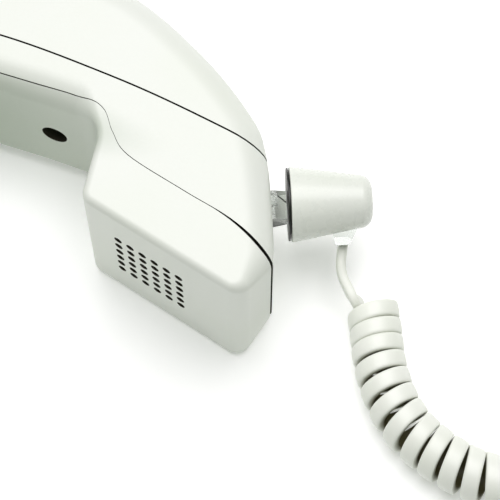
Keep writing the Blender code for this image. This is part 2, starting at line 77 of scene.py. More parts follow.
RIM_CUP = 2.0
RIM_CHIN_RISE = 1.4             # growth of the rim radius round the chin
RIM_LEAST = 0.6                 # of the hollow inside
GRIP_TO_CUP = 8.0               # length over which the grip's rim turns into the cup's
END_TO_BACK = 40.0              # height over which the end's rim turns into the back's
GRIP_BEND_X = 50.8              # corner between the grip and the cup, before its fillet
GRIP_STOPS = (8.0, 16.0, 24.0, 32.0)
FACE_STOPS = (0.3, 0.55, 0.8)   # shares of the cup's face with a row of points
CHIN_STOPS = (0.3, 0.65)
FILLET_STEPS = 14
CUP_CORNER_STEPS = 9
CHIN_STEPS = 10
BACK_ROWS = 56
BACK_STEPS = 16
SEAM_STEPS = 8
OUTER_RIM_STEPS = 7
INNER_RIM_STEPS = 3
GRILLE_X = 71.0                 # middle of the sound holes, from the handset's middle
HOLE_BREAK = 1.15               # how much wider the sound holes' cutters start
HOLE_BREAK_DEPTH = 0.15
CUT_MARGIN = 1.0                # how far a hole's cutter stands proud of the face
HOLE_SIDES = 20

# Seams between the shells
SEAM_END_START = 84.0           # where a seam starts to change towards its end
SEAM_END_REACH = 14.0
LOWER_SEAM_SHARE = 0.6          # widths of the two seams against the seam gap
UPPER_SEAM_SHARE = 1.4
FRONT_END_SHIFT = -0.6
MIDDLE_END_SHIFT = 0.25
SHELL_REACH = 130
SHELL_HEIGHT = 60
SIDE_MARGIN = 5

# Screw posts and their recesses
SCREW_X = 35.7
POST_LOW = 1.4
POST_TOP = 14.0
POST_RADIUS = 5.25
RECESS_TOP = 10.0
SCREW_HOLE_TOP = 19
SCREW_HOLE_RADIUS = 1.7
SCREW_HOLE_SIDES = 16
POST_SIDES = 32
CUT_LOW = -5

# Painted shade on the inside of the grip: its centre, and how far it reaches
GRIP_SHADE_CENTRE = (0.0, -6.0, 22.5)
GRIP_SHADE_REACH = (75.0, 12.5, 75.0)

RECESS_RADIUS = 3.45            # of the screw recesses

# Detangler
SWIVEL_ORIGIN = (99.0, -1.15)
SWIVEL_ANGLE = 19.8
SWIVEL_LENGTH = 20.7
HOUSING_WALL = 1.6
LIP_THICKNESS = 0.4
LIP_INSET = 0.35
DISC_DEPTH = 2.0
SLIT = 0.5
GAP = 0.3
HUB_RADIUS = 2.5
HUB_END = 6.0
HOUSING_EDGE = 0.35             # rounding of the housing's base edge
TIP_STEPS = 12
CONE_SIDES = 96
TIP_CROWN = ((0.12, 0.4), (0.15, 0.0))  # (rise of the end face, share of its radius)
LIP_EDGE = 0.12                 # rounding of the disc's lip
LIP_EDGE_START = 0.04
SIDE_JACK_X = 13.3
SIDE_JACK_ROLL = 50.0
END_JACK_SHIFT = -1.0
END_JACK_MOUTH = ((-12, 2), (-3.6, 6.8), (-4.1, 4.1))
SIDE_JACK_OPENING = ((0, 12), (-6.8, 3.6), (-4.1, 4.1))

# Cord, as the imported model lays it: (x, y, height above the table)
UPPER_TAIL = ((113.84, -3.11, 14.31), (114.1, -3.9, 13.3), (114.5, -6.3, 12.1),
              (115.2, -9.2, 11.3), (116.5, -11.6, 10.6), (118.5, -13.9, 10.0),
              (120.6, -16.0, 9.3))
COIL = ((125.3, -15.2), (127.7, -20.6), (131.9, -30.6), (136.7, -38.1), (142.2, -43.6),
        (148.1, -47.1), (155.3, -49.9), (162.8, -51.2), (171.0, -50.6), (180.0, -45.4),
        (187.0, -36.0), (191.0, -22.0), (192.5, -4.0), (192.5, 16.0), (191.5, 34.0),
        (194.5, 47.0), (204.0, 54.0), (214.5, 49.0), (219.0, 36.0), (220.0, 18.0),
        (220.0, -2.0), (219.5, -20.0))
LOWER_TAIL = ((219.3, -24.0, 6.0), (218.0, -30.0, 4.4), (213.0, -37.0, 3.4),
              (206.0, -41.0, 3.4), (203.0, -47.0, 3.6), (203.0, -53.0, 3.8))
COIL_DIAMETER = 13.5
ROUTE_STEPS = 12                # points between two route points
COIL_STEPS = 9000               # steps along the coil's route
TURN_POINTS = 28                # points in one turn
JOIN_LENGTH = 3.0               # straight stretch between a turn and a tail
TANGENT_REACH = 4.0             # how far the coil's direction is averaged either way
FIRST_TURN = (0.55, 0.45)       # share of the radius at the start, and its growth per half turn
MOST_BEND = 0.45                # limit of how far a bend opens the turns
TAIL_ROWS = (40, 60)            # points along the upper and the lower tail
FAR_END_ACROSS = (-1, 0, 0)     # thickness direction at the far plug
COIL_SHADE_RAMP = 30                  # points over which the painted shade inside the coil starts and ends
COIL_SHADE_LEVEL = (0.45, 0.75)       # painted shade at mid thickness, and its change to either face
SECTION_STEPS = 20
SECTION_POWERS = (0.34, 0.55)   # how square the section is across its thickness and width

# Camera, light and table
CAMERA_TURN = 17
CAMERA_PITCH = 67
CAMERA_DISTANCE = 0.483
CAMERA_AIM = (93.0, -16.05, MIDDLE_Z)
CAMERA_LENS = 139.1
SENSOR_WIDTH = 36.0
NEAREST_SEEN = 0.01
FLOOR_HALF = 3.0
FLOOR_DROP = 0.0002             # keeps the table clear of the handset's own face
ROOM_COLOUR = "E2F6DA"
ROOM_STRENGTH = 0.15
KEY_SPOT = (0.0, 0.3, 1.4)
KEY_SIZE = 1.6
KEY_POWER = 25.2
KEY_COLOUR = (1.0, 0.97, 1.0)

SHARP_EDGE = 38                 # degrees above which an edge stays sharp
SHARP_SHELL = 32
SHARP_CORD = 60
FLAT_FACE_WEIGHT = 90


class HandsetSettings(bpy.types.PropertyGroup):
    """Sizes of the handset's shells."""

    wall: bpy.props.FloatProperty(
        name="Wall", description="Thickness of the moulded shells", default=2.0 * MM,
        min=1.0 * MM, max=3.0 * MM, unit="LENGTH")
    half_width: bpy.props.FloatProperty(
        name="Half width", description="Half the width across the handset",
        default=22.5 * MM, unit="LENGTH")
    seam_gap: bpy.props.FloatProperty(
        name="Seam gap", description="Width of the open line between two shells",
        default=0.34 * MM, unit="LENGTH")
    hole_pitch: bpy.props.FloatProperty(
        name="Hole pitch", description="Distance between two sound holes",
        default=3.6 * MM, unit="LENGTH")
    hole_diameter: bpy.props.FloatProperty(
        name="Hole diameter", description="Diameter of one sound hole",
        default=2.0 * MM, unit="LENGTH")
    hole_rows: bpy.props.IntProperty(
        name="Hole rows", description="Sound holes along each side of the square pattern",
        default=6, min=2, max=9)


class DetanglerSettings(bpy.types.PropertyGroup):
    """Sizes of the swivel detangler."""

    base_diameter: bpy.props.FloatProperty(
        name="Base diameter", description="Diameter at the handset's side",
        default=19.3 * MM, unit="LENGTH")
    tip_diameter: bpy.props.FloatProperty(
        name="Tip diameter", description="Diameter at the free end, before its rounding",
        default=12.5 * MM, unit="LENGTH")
    tip_rounding: bpy.props.FloatProperty(
        name="Tip rounding", description="Radius of the free end's edge",
        default=3.2 * MM, unit="LENGTH")


class CordSettings(bpy.types.PropertyGroup):
    """Sizes of the curly cord."""

    width: bpy.props.FloatProperty(
        name="Width", description="Width of the flat cord", default=4.3 * MM, unit="LENGTH")
    thickness: bpy.props.FloatProperty(
        name="Thickness", description="Thickness of the flat cord", default=2.5 * MM,
        unit="LENGTH")
    pitch: bpy.props.FloatProperty(
        name="Pitch", description="Distance between two turns on the inside of a bend",
        default=4.3 * MM, unit="LENGTH")


class FinishSettings(bpy.types.PropertyGroup):
    """Colours of the materials, as sRGB hex values."""

    shell: bpy.props.StringProperty(
        name="Shell", description="Moulded ABS of the handset", default="EAECE8")
    shell_shade: bpy.props.StringProperty(
        name="Shell shade", description="Slightly aged ABS", default="E4E9DD")
    # Painted shade: the darker green-grey of the grip's inner face, where the light falls off
    grip_shade: bpy.props.StringProperty(
        name="Patina", description="ABS where the fingers hold the grip", default="A3B29C")
    cord: bpy.props.StringProperty(
        name="Cord", description="PVC of the cord", default="F3F4EF")
    cord_shade: bpy.props.StringProperty(
        name="Cord shade", description="Handled PVC", default="EBEFE3")
    # Painted shade: the dark olive of the coil's inside, where shade falls between the turns
    coil_shade: bpy.props.StringProperty(
        name="Dust", description="Dust on the inside of the coil", default="6E6A48")
    floor: bpy.props.StringProperty(
        name="Floor", description="Pale table under the handset", default="FFFFFF")


# ---------------------------------------------------------------- materials

def linear(hex_colour, alpha=1.0):
    """Turn an sRGB hex value into linear red, green, blue and alpha."""
    channels = [int(hex_colour[i:i + 2], 16) / 255 for i in (0, 2, 4)]
    return (*[c / 12.92 if c <= 0.04045 else ((c + 0.055) / 1.055) ** 2.4
              for c in channels], alpha)


def per_mm(size):
    """Return the texture scale whose features are about size millimetres across."""
    return 1 / (size * MM)


def add_node(tree, kind, settings=None, values=None, links=None):
    """Add one node with its settings, its input values and its links."""
    node = tree.nodes.new(kind)
    for name, value in (settings or {}).items():
        setattr(node, name, value)
    for name, value in (values or {}).items():
        node.inputs[name].default_value = value
    for name, source in (links or {}).items():
        tree.links.new(source, node.inputs[name])
    return node


def surface(name, one, two, patch, rough, grain, relief, fixed=None, stretch=(1, 1, 1)):
    """Make a material that varies between two colours and two roughnesses over its grain.

    patch is the size of the colour variation and grain that of the fine texture, in mm;
    relief is the height of the grain in mm.
    """
    made = bpy.data.materials.new(name)
    made.use_nodes = True
    tree = made.node_tree
    shader = tree.nodes["Principled BSDF"]
    place = add_node(tree, "ShaderNodeTexCoord")
    spread = add_node(tree, "ShaderNodeMapping", values={"Scale": stretch},
                      links={"Vector": place.outputs["Object"]})
    broad = add_node(tree, "ShaderNodeTexNoise", values={"Scale": per_mm(patch), "Detail": 3.0},
                     links={"Vector": spread.outputs["Vector"]})
    fine = add_node(tree, "ShaderNodeTexNoise", values={"Scale": per_mm(grain), "Detail": 4.0},
                    links={"Vector": spread.outputs["Vector"]})
    colour = add_node(tree, "ShaderNodeMix", {"data_type": "RGBA"})
    colour.inputs[6].default_value = linear(one)
    colour.inputs[7].default_value = linear(two)
    tree.links.new(broad.outputs["Fac"], colour.inputs["Factor"])
    tree.links.new(colour.outputs[2], shader.inputs["Base Color"])
    gloss = add_node(tree, "ShaderNodeMapRange",
                     values={"From Min": 0.3, "From Max": 0.7, "To Min": rough[0],
                             "To Max": rough[1]},
                     links={"Value": fine.outputs["Fac"]})
    tree.links.new(gloss.outputs["Result"], shader.inputs["Roughness"])
    bump = add_node(tree, "ShaderNodeBump", values={"Strength": 1.0, "Distance": relief * MM},
                    links={"Height": fine.outputs["Fac"]})
    tree.links.new(bump.outputs["Normal"], shader.inputs["Normal"])
    for key, value in (fixed or {}).items():
        shader.inputs[key].default_value = value
    return made


def moulded_abs(finish):
    """ABS from a spark-eroded mould: faint satin grain, with a painted shade on the inside of the
    grip.
    """
    made = surface("spark_eroded_abs", finish.shell, finish.shell_shade, 38.0, (0.36, 0.46),
                   0.55, 0.012, {"IOR": 1.53})
    tree = made.node_tree
    shader = tree.nodes["Principled BSDF"]
    unshaded = shader.inputs["Base Color"].links[0].from_socket
    # Painted shade: a darker green-grey blended in towards the grip's inner face
    place = add_node(tree, "ShaderNodeTexCoord")
    reach = Vector(GRIP_SHADE_REACH) * MM
    centre = table_spot(GRIP_SHADE_CENTRE)
    shift = Vector([-a * MM / b for a, b in zip(centre, reach)])
    spread = add_node(tree, "ShaderNodeMapping",
                      values={"Location": shift, "Scale": [1 / size for size in reach]},
                      links={"Vector": place.outputs["Object"]})
    ball = add_node(tree, "ShaderNodeTexGradient", {"gradient_type": "SPHERICAL"},
                    links={"Vector": spread.outputs["Vector"]})
    amount = add_node(tree, "ShaderNodeMapRange",
                      {"interpolation_type": "SMOOTHSTEP"},
                      {"From Min": 0.0, "From Max": 0.6, "To Min": 0.0, "To Max": 1.0},
                      {"Value": ball.outputs["Fac"]})
    grip_shaded = add_node(tree, "ShaderNodeMix", {"data_type": "RGBA"})
    grip_shaded.inputs[7].default_value = linear(finish.grip_shade)
    tree.links.new(amount.outputs["Result"], grip_shaded.inputs["Factor"])
    tree.links.new(unshaded, grip_shaded.inputs[6])
    tree.links.new(grip_shaded.outputs[2], shader.inputs["Base Color"])
    return made


def painted_cut_shade():
    """Painted shade: a dark finish on the walls of the seams, sound holes and recesses, where shade
    falls.
    """
    return surface("painted_cut_shade", "3A3626", "25241A", 2.5, (0.8, 0.95), 0.3, 0.03)


def polished_abs(finish):
    """ABS from a polished mould, on the detangler: smoother and a little glossier."""
    return surface("polished_mould_abs", finish.shell, finish.shell_shade, 22.0, (0.24, 0.32),
                   2.2, 0.001, {"IOR": 1.53})


def extruded_pvc(finish):
    """Plasticised PVC sleeve: soft, waxy, with drag lines, and with painted shade inside the coil.
    """
    made = surface("extruded_soft_pvc", finish.cord, finish.cord_shade, 14.0, (0.34, 0.46),
                   0.5, 0.01, {"IOR": 1.52})
    tree = made.node_tree
    shader = tree.nodes["Principled BSDF"]
    unshaded = shader.inputs["Base Color"].links[0].from_socket
    # Painted shade inside the coil, read from a per-point attribute
    coil_shade = add_node(tree, "ShaderNodeAttribute", {"attribute_name": "coil_shade"})
    coil_shaded = add_node(tree, "ShaderNodeMix", {"data_type": "RGBA"})
    coil_shaded.inputs[7].default_value = linear(finish.coil_shade)
    tree.links.new(coil_shade.outputs["Fac"], coil_shaded.inputs["Factor"])
    tree.links.new(unshaded, coil_shaded.inputs[6])
    tree.links.new(coil_shaded.outputs[2], shader.inputs["Base Color"])
    return made


def clear_polycarbonate():
    """Water-clear moulded polycarbonate: dark edges, bright glints, faint flow lines."""
    return surface("clear_moulded_polycarbonate", "FCFFFC", "F4F8F4", 6.0, (0.02, 0.05), 1.4,
                   0.01, {"IOR": 1.585, "Transmission Weight": 0.95})


def gold_plate():
    """Thin gold on phosphor bronze: warm, with fine rolling lines."""
    return surface("gold_plated_bronze", "D9B25C", "B98F3E", 2.0, (0.18, 0.32), 0.25, 0.004,
                   {"Metallic": 1.0}, (1, 1, 6))


def zinc_plate():
    """Zinc-plated steel: cool grey with a faint crystalline mottle."""
    return surface("zinc_plated_steel", "B9BCBB", "8F9493", 1.6, (0.28, 0.42), 0.3, 0.006,
                   {"Metallic": 1.0})


def needled_felt():
    """Needled polyester felt: black, matt and hairy."""
    return surface("needled_felt", "15180F", "262B1E", 1.2, (0.9, 1.0), 0.18, 0.12,
                   {"Sheen Weight": 0.35})


def moulded_rubber():
    """Moulded nitrile rubber: black and dull."""
    return surface("moulded_nitrile", "17181A", "222426", 5.0, (0.6, 0.75), 0.4, 0.02)


def open_foam():
    """Open-cell polyurethane foam: grey, with cells as coarse as a grain of salt."""
    return surface("open_cell_foam", "4A4D4A", "2E302E", 0.9, (0.9, 1.0), 0.5, 0.25)


def filled_nylon():
    """Glass-filled nylon: grey, with the fibres' frosting."""
    return surface("glass_filled_nylon", "6E726F", "5A5E5B", 3.0, (0.5, 0.62), 0.3, 0.02)


def dark_base_disc_finish():
    """Black, slippery and faintly waxy finish of the fixed disc, which gives the housing's base its
    dark line.
    """
    return surface("dark_base_disc", "141512", "1F211D", 7.0, (0.32, 0.42), 0.6, 0.006)


def lead_insulation():
    """Extruded PVC on a wire: red and slightly glossy."""
    return surface("lead_pvc", "A3271F", "86201A", 3.0, (0.35, 0.45), 0.4, 0.006)


def matt_table(finish):
    """Matt white table top with the faint tooth of eggshell paint."""
    return surface("eggshell_paint", finish.floor, "FCFDFC", 120.0, (0.8, 0.92), 1.2, 0.01,
                   {"Emission Color": (1.0, 1.0, 1.0, 1.0), "Emission Strength": 0.2})


# ---------------------------------------------------------------- mesh helpers

def mesh_of(name, points, faces):
    """Make a mesh from millimetre points, with its faces pointing out."""
    shape = bmesh.new()
    corners = [shape.verts.new(Vector(point) * MM) for point in points]
    for face in faces:
        shape.faces.new([corners[index] for index in face])
    bmesh.ops.recalc_face_normals(shape, faces=shape.faces)
    mesh = bpy.data.meshes.new(name)
    shape.to_mesh(mesh)
    shape.free()
    return mesh


def put(name, mesh, looks, body, nodes=(), transform=None,
        sharp=SHARP_EDGE):
    """Link a finished mesh, shade it, and let it ride on a body for its CAD nodes."""
    if transform is not None:
        mesh.transform(transform)
    if not mesh.materials:
        mesh.materials.append(looks)
    mesh.shade_smooth()
    mesh.set_sharp_from_angle(angle=math.radians(sharp))
    thing = bpy.data.objects.new(name, mesh)
    bpy.context.scene.collection.objects.link(thing)
    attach(thing, body)
    if nodes:
        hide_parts(*nodes)
    return thing


def even_normals(thing):
    """Let the large flat faces keep their own shading beside narrow rounded ones."""
    weighted = thing.modifiers.new("even_normals", "WEIGHTED_NORMAL")
    weighted.keep_sharp = True
    weighted.weight = FLAT_FACE_WEIGHT


def prism(outline, low, high):
    """Extrude a closed outline in XY from one height to another."""
    count = len(outline)
    points = [(x, y, low) for x, y in outline] + [(x, y, high) for x, y in outline]
    faces = [list(range(count)), list(range(count, 2 * count))]
    for i in range(count):
        j = (i + 1) % count
        faces.append([i, j, j + count, i + count])
    return mesh_of("prism", points, faces)


def block(x, y, z):
    """Make a box from three (low, high) pairs."""
    return prism([(x[0], y[0]), (x[1], y[0]), (x[1], y[1]), (x[0], y[1])], z[0], z[1])


def turned(profile, sides):
    """Turn a closed (along, radius) profile about X; a zero radius is a point on the axis."""
    points = []
    rings = []
    for along, radius in profile:
        if radius == 0:
            rings.append([len(points)] * sides)
            points.append((along, 0, 0))
            continue
        rings.append(list(range(len(points), len(points) + sides)))
        for side in range(sides):
            angle = 2 * math.pi * side / sides
            points.append((along, radius * math.cos(angle), radius * math.sin(angle)))
    faces = []
    for one, two in zip(rings, rings[1:] + rings[:1]):
        for i in range(sides):
            j = (i + 1) % sides
            corners = []
            for index in (one[i], one[j], two[j], two[i]):
                if index not in corners:
                    corners.append(index)
            if len(corners) > 2:
                faces.append(corners)
    return mesh_of("turned", points, faces)


def joined(meshes):
    """Put several meshes into one, for one cut."""
    shape = bmesh.new()
    for mesh in meshes:
        shape.from_mesh(mesh)
    whole = bpy.data.meshes.new("joined")
    shape.to_mesh(whole)
    shape.free()
    return whole


def combined(mesh, tool, operation):
    """Return the Boolean of two meshes as a new mesh."""
    things = []
    for part in (mesh, tool):
        thing = bpy.data.objects.new("working", part)
        bpy.context.scene.collection.objects.link(thing)
        things.append(thing)
    modifier = things[0].modifiers.new("cut", "BOOLEAN")
    modifier.operation = operation
    modifier.object = things[1]
    depsgraph = bpy.context.evaluated_depsgraph_get()
    result = bpy.data.meshes.new_from_object(things[0].evaluated_get(depsgraph))
    for thing in things:
        bpy.data.objects.remove(thing)
    if not result.polygons:
        raise RuntimeError(f"the {operation} left nothing")
    return result


def in_two_finishes(mesh, looks, painted_shade, tool=False):
    """Give a mesh an outer finish and a second one of painted shade, which a tool leaves on its
    cuts.
    """
    mesh.materials.append(looks)
    mesh.materials.append(painted_shade)
    if tool:
        mesh.polygons.foreach_set("material_index", [1] * len(mesh.polygons))
    return mesh


def cut(mesh, *tools):
    """Take tools away from a mesh."""
    for tool in tools:
        mesh = combined(mesh, tool, "DIFFERENCE")
    return mesh


def added(mesh, *tools):
    """Unite tools with a mesh."""
    for tool in tools:
        mesh = combined(mesh, tool, "UNION")
    return mesh


def curve_through(points, per_span):
    """Return a smooth Catmull-Rom curve through points."""
    spots = [Vector(point) for point in points]
    ends = [spots[0] * 2 - spots[1]] + spots + [spots[-1] * 2 - spots[-2]]
    result = []
    for a, b, c, d in zip(ends, ends[1:], ends[2:], ends[3:]):
        for step in range(per_span):
            t = step / per_span
            result.append((b * 2 + (c - a) * t + (a * 2 - b * 5 + c * 4 - d) * t ** 2
                           + (b * 3 - a - c * 3 + d) * t ** 3) / 2)
    result.append(spots[-1])
    return result


def resampled(points, count):
    """Return points at equal distances along a polyline."""
    lengths = [0.0]
    for one, two in zip(points, points[1:]):
        lengths.append(lengths[-1] + (two - one).length)
    result = []
    span = 0
    for step in range(count):
        target = lengths[-1] * step / (count - 1)
        while span < len(points) - 2 and lengths[span + 1] < target:
            span += 1
        part = (target - lengths[span]) / (lengths[span + 1] - lengths[span])
        result.append(points[span].lerp(points[span + 1], part))
    return result


def corner_arc(before, corner, after, radius, steps):
    """Return the points of a fillet at a corner."""
    corner = Vector(corner)
    one = (Vector(before) - corner).normalized()
    two = (Vector(after) - corner).normalized()
    half = one.angle(two) / 2
    centre = corner + (one + two).normalized() * radius / math.sin(half)
    reach = radius / math.tan(half)
    start = corner + one * reach - centre
    turn = start.angle_signed(corner + two * reach - centre)
    return [centre + Matrix.Rotation(-turn * step / steps, 2) @ start
            for step in range(steps + 1)]


def frame_at(x, y, z=0.0, degrees=0.0):
    """Return a frame in the handset's mid plane, turned about +Z."""
    spot = Vector((x, y - ORIGIN_Y, z + MIDDLE_Z)) * MM
    return Matrix.Translation(spot) @ Matrix.Rotation(math.radians(degrees), 4, "Z")


def swivel_frame(along=0.0):
    """Return the detangler's frame: +X is its axis, away from the handset."""
    angle = math.radians(SWIVEL_ANGLE)
    return frame_at(SWIVEL_ORIGIN[0] + along * math.cos(angle),
                    SWIVEL_ORIGIN[1] + along * math.sin(angle), 0, SWIVEL_ANGLE)


def jack_frame(along=0.0):
    """Return the handset jack's frame: +X leaves the handset and +Y is the latch's side."""
    aside = Matrix.Translation(Vector((0, END_JACK_SHIFT, 0)) * MM)
    return swivel_frame(along) @ aside @ Matrix.Rotation(math.pi / 2, 4, "X")


def side_frame():
    """Return the cord jack's frame: +X leaves the detangler and -Y is the latch's side."""
    roll = Matrix.Rotation(math.radians(SIDE_JACK_ROLL), 4, "X")
    return swivel_frame(SIDE_JACK_X) @ roll @ Matrix.Rotation(-math.pi / 2, 4, "Z")


# ---------------------------------------------------------------- cord

def table_spot(point):
    """Return a point in the handset's frame from one above the table."""
    return Vector((point[0], point[1] - ORIGIN_Y, point[2]))


def across(direction, tangent):
    """Return the part of a direction that stands square to a tangent, at unit length."""
    return (direction - tangent * direction.dot(tangent)).normalized()


def helix_turns(settings):
    """Wind the flat cord round the coil's route.

    Returns (centre, thickness direction) pairs. On the inside of a bend the turns lie
    side by side at the pitch, so on the outside they open.
    """
    height = COIL_DIAMETER / 2
    width_along = settings.pitch / MM
    radius = COIL_DIAMETER / 2 - settings.thickness / MM / 2
    route = resampled(curve_through([table_spot((x, y, height)) for x, y in COIL],
                                    ROUTE_STEPS), COIL_STEPS)
    step = (route[1] - route[0]).length
    upward = Vector((0, 0, 1))
    rows = []
    angle = 0.0
    next_point = 0.0
    reach = round(TANGENT_REACH / step)
    for i, spot in enumerate(route):
        before = route[max(0, i - reach)]
        after = route[min(len(route) - 1, i + reach)]
        tangent = (after - before).normalized()
        first = (spot - before).normalized() if i > 0 else tangent
        last = (after - spot).normalized() if i < len(route) - 1 else tangent
        bend = first.angle(last, 0.0) / max((after - before).length / 2, step)
        side = tangent.cross(upward)
        if angle >= next_point:
            opening = min(1.0, FIRST_TURN[0] + angle / math.pi * FIRST_TURN[1])
            out = side * math.cos(angle) - upward * math.sin(angle)
            rows.append((spot + out * radius * opening, out))
            next_point += 2 * math.pi / TURN_POINTS
        pitch = width_along / (1 - min(MOST_BEND, bend * COIL_DIAMETER / 2))
        angle += 2 * math.pi * step / pitch
    return rows


def blended_tail(points, start_across, end_across, count):
    """Return (centre, thickness direction) pairs along a straight length of cord."""
    route = resampled(curve_through(points, ROUTE_STEPS), count)
    rows = []
    for i, spot in enumerate(route):
        tangent = (route[min(i + 1, count - 1)] - route[max(i - 1, 0)]).normalized()
        part = i / (count - 1)
        rows.append((spot, across(start_across.lerp(end_across, part), tangent)))
    return rows


def cord_rows(settings):
    """Return the whole cord's (centre, thickness direction) pairs, plug to plug.

    The second value tells for each pair how far inside the coil it is, from 0 to 1.
    """
    coil = helix_turns(settings)
    latch_side = -side_frame().col[1].to_3d()
    upper_points = [table_spot(point) for point in UPPER_TAIL] + [coil[0][0]]
    after = coil[0][0] + (coil[1][0] - coil[0][0]).normalized() * JOIN_LENGTH
    route = curve_through(upper_points + [after], ROUTE_STEPS)[:-ROUTE_STEPS]
    upper = blended_tail([Vector(spot) for spot in route], latch_side, coil[0][1],
                         TAIL_ROWS[0])
    turn_out = coil[-1][1]
    before = coil[-1][0] + (coil[-1][0] - coil[-2][0]).normalized() * JOIN_LENGTH
    lower_points = [coil[-1][0], before] + [table_spot(point) for point in LOWER_TAIL[1:]]
    lower = blended_tail(lower_points, turn_out, Vector(FAR_END_ACROSS), TAIL_ROWS[1])
    coiled = [min(1.0, i / COIL_SHADE_RAMP, (len(coil) - 1 - i) / COIL_SHADE_RAMP)
              for i in range(len(coil))]
    inside = [0.0] * (len(upper) - 1) + coiled + [0.0] * (len(lower) - 1)
    return upper[:-1] + coil + lower[1:], inside


def flat_section(width, thickness, steps):
    """Return a flat cord's section: straight flats and edges with small round corners."""
    points = []
    for i in range(steps):
        angle = 2 * math.pi * i / steps
        c = math.cos(angle)
        s = math.sin(angle)
        points.append((math.copysign(abs(c) ** SECTION_POWERS[0], c) * thickness / 2,
                       math.copysign(abs(s) ** SECTION_POWERS[1], s) * width / 2))
    return points


def swept(rows, section):
    """Sweep a section along (centre, thickness direction) pairs."""
    points = []
    count = len(section)
    for i, (spot, out) in enumerate(rows):
        ahead = rows[min(i + 1, len(rows) - 1)][0]
        behind = rows[max(i - 1, 0)][0]
        tangent = (ahead - behind).normalized()
        thin = across(out, tangent)
        wide = tangent.cross(thin)
        points += [spot + thin * u + wide * v for u, v in section]
    faces = [list(range(count)), list(range(len(points) - count, len(points)))]
    for ring in range(len(rows) - 1):
        for i in range(count):
            j = (i + 1) % count
            low = ring * count
            faces.append([low + i, low + j, low + j + count, low + i + count])
    return mesh_of("swept", points, faces)


class HANDSET_OT_cord(bpy.types.Operator):
    """Make the curly cord in one length, from its near plug to its far plug"""

    bl_idname = "handset.cord"
    bl_label = "Curly cord"

    def execute(self, context):
        settings = context.scene.cord_settings
        rows, inside = cord_rows(settings)
        section = flat_section(settings.width / MM, settings.thickness / MM, SECTION_STEPS)
        strand = swept(rows, section)
        # Painted shade on the inside of the coil, darkest on the strand's face towards the coil's
        # axis
        coil_shade = strand.attributes.new("coil_shade", "FLOAT", "POINT")
        width = max(u for u, _v in section)
        level, change = COIL_SHADE_LEVEL
        share = [min(1.0, max(0.0, level - change * u / width)) for u, _v in section]
        coil_shade.data.foreach_set("value", [part * part_inside for part_inside in inside
                                        for part in share])
        cord = put("curly_cord_strand", strand, extruded_pvc(context.scene.finish_settings),
                   "cord", ("upper_cord", "curly_cord", "lower_cord"),
                   sharp=SHARP_CORD)
        on_it = ["cord_plug", "cord_plug_latch", "wall_plug", "wall_plug_latch"]
        on_it += [f"{plug}_contact_{number}" for plug in ("cord_plug", "wall_plug")
                  for number in range(1, 5)]
        return {"FINISHED"}


# ---------------------------------------------------------------- handset shells

def half_outline():
    """Return the mouthpiece half of the side outline as (point, rim radius) pairs."""
    rows = []
    for x in GRIP_STOPS:
        rows.append((Vector((x, GRIP_Y - x * x / (2 * GRIP_RADIUS))), RIM_GRIP))
    bend = (GRIP_BEND_X, GRIP_END[1])
    for spot in corner_arc(GRIP_END, bend, CUP_CORNER, CUP_FILLET, FILLET_STEPS):
        blend = min(1.0, max(0.0, (spot.x - GRIP_END[0]) / GRIP_TO_CUP))
        eased = blend * blend * (3 - 2 * blend)
        rows.append((spot, RIM_GRIP + (RIM_CUP - RIM_GRIP) * eased))
    for spot in corner_arc(bend, CUP_CORNER, CHIN_CORNER, CUP_CORNER_RADIUS,
                           CUP_CORNER_STEPS):
        rows.append((spot, RIM_CUP))
    for part in FACE_STOPS:
        rows.append((Vector(CUP_CORNER).lerp(Vector(CHIN_CORNER), part), RIM_CUP))
    chin = corner_arc(CUP_CORNER, CHIN_CORNER, END_POINT, CHIN_RADIUS, CHIN_STEPS)
    for number, spot in enumerate(chin):
        rows.append((spot, RIM_CUP + RIM_CHIN_RISE * number / (len(chin) - 1)))
    chin_rim = RIM_CUP + RIM_CHIN_RISE
    back = resampled(curve_through(BACK_POINTS, BACK_STEPS), BACK_ROWS)
    back.reverse()
    for step in CHIN_STOPS:
        rim = chin_rim + (RIM_END - chin_rim) * step
        rows.append((chin[-1].lerp(back[0], step), rim))
    for spot in back[:-1]:
        blend = min(1.0, max(0.0, (spot.y - END_POINT[1]) / END_TO_BACK))
        rows.append((spot, RIM_END + (RIM_BACK - RIM_END) * blend))
    return rows


def body_solid(half_width, inset, rim_steps):
    """Make the handset's outer form, or the hollow inside it at a given inset."""
    half = half_outline()
    rows = [(Vector((0.0, GRIP_Y)), RIM_GRIP)] + half
    rows.append((Vector((0.0, BACK_POINTS[0][1])), RIM_BACK))
    rows += [(Vector((-spot.x, spot.y)), rim) for spot, rim in reversed(half)]
    count = len(rows)
    normals = []
    for i in range(count):
        ahead = rows[(i + 1) % count][0] - rows[i][0]
        behind = rows[i][0] - rows[i - 1][0]
        along = ahead.normalized() + behind.normalized()
        normals.append(Vector((along.y, -along.x)).normalized())
    levels = []
    for step in range(rim_steps + 1):
        angle = math.pi / 2 * (1 - step / rim_steps)
        levels.append((math.sin(angle), 1 - math.cos(angle)))
    points = []
    for side in (-1, 1):
        for rise, inward in (levels if side < 0 else reversed(levels)):
            for (spot, rim), normal in zip(rows, normals):
                radius = max(rim - inset, RIM_LEAST)
                flat = spot - normal * (inset + radius * inward)
                height = half_width - inset - radius * (1 - rise)
                points.append((flat.x, flat.y, side * height))
    faces = [list(range(count)), list(range(len(points) - count, len(points)))]
    for ring in range(len(points) // count - 1):
        for i in range(count):
            j = (i + 1) % count
            low = ring * count
            faces.append([low + i, low + j, low + j + count, low + i + count])
    return mesh_of("body", points, faces)


